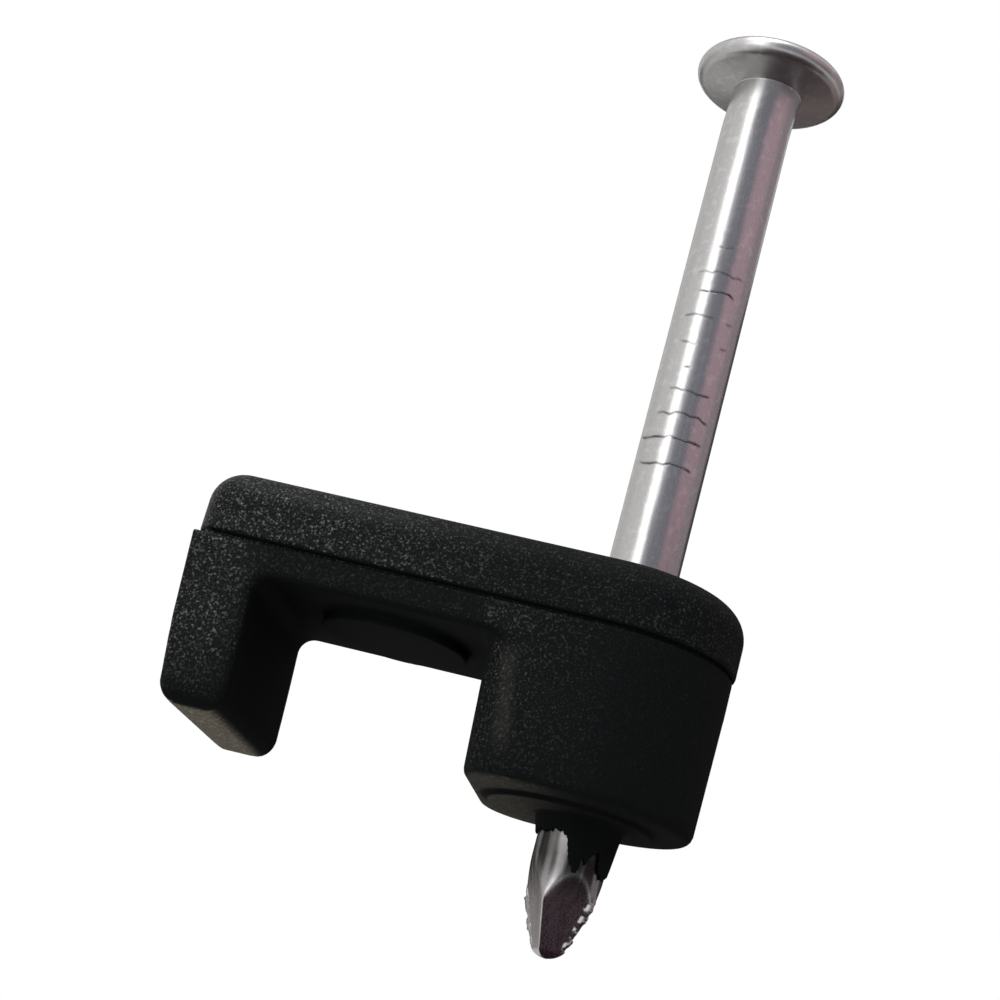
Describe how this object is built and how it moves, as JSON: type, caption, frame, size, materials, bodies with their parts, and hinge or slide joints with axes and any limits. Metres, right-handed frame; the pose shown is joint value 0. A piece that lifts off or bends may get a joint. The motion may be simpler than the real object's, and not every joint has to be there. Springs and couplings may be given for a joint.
{
  "type": "nail in cable clip",
  "caption": "Moulded saddle clip for a flat cable, square-shouldered with a leg on one side and a round-nosed boss on the other, carrying a plated diamond-point nail that fixes it to a wall.",
  "frame": {"origin": "on the nail's axis, in the plane of the wall that the boss's pad and the leg's foot seat on", "axes": "+Z along the nail, away from the wall towards its head; -X from the boss to the leg; Y along the cable"},
  "size_m": [0.0147, 0.0068, 0.0268],
  "materials": {
    "moulded_plastic": "spark-eroded grain on the outer faces, smooth inside the slot",
    "plated_steel": "zinc-plated, satin"
  },
  "bodies": {
    "root": {"clip_body": "moulded_plastic", "nail": "plated_steel"}
  },
  "joints": []
}
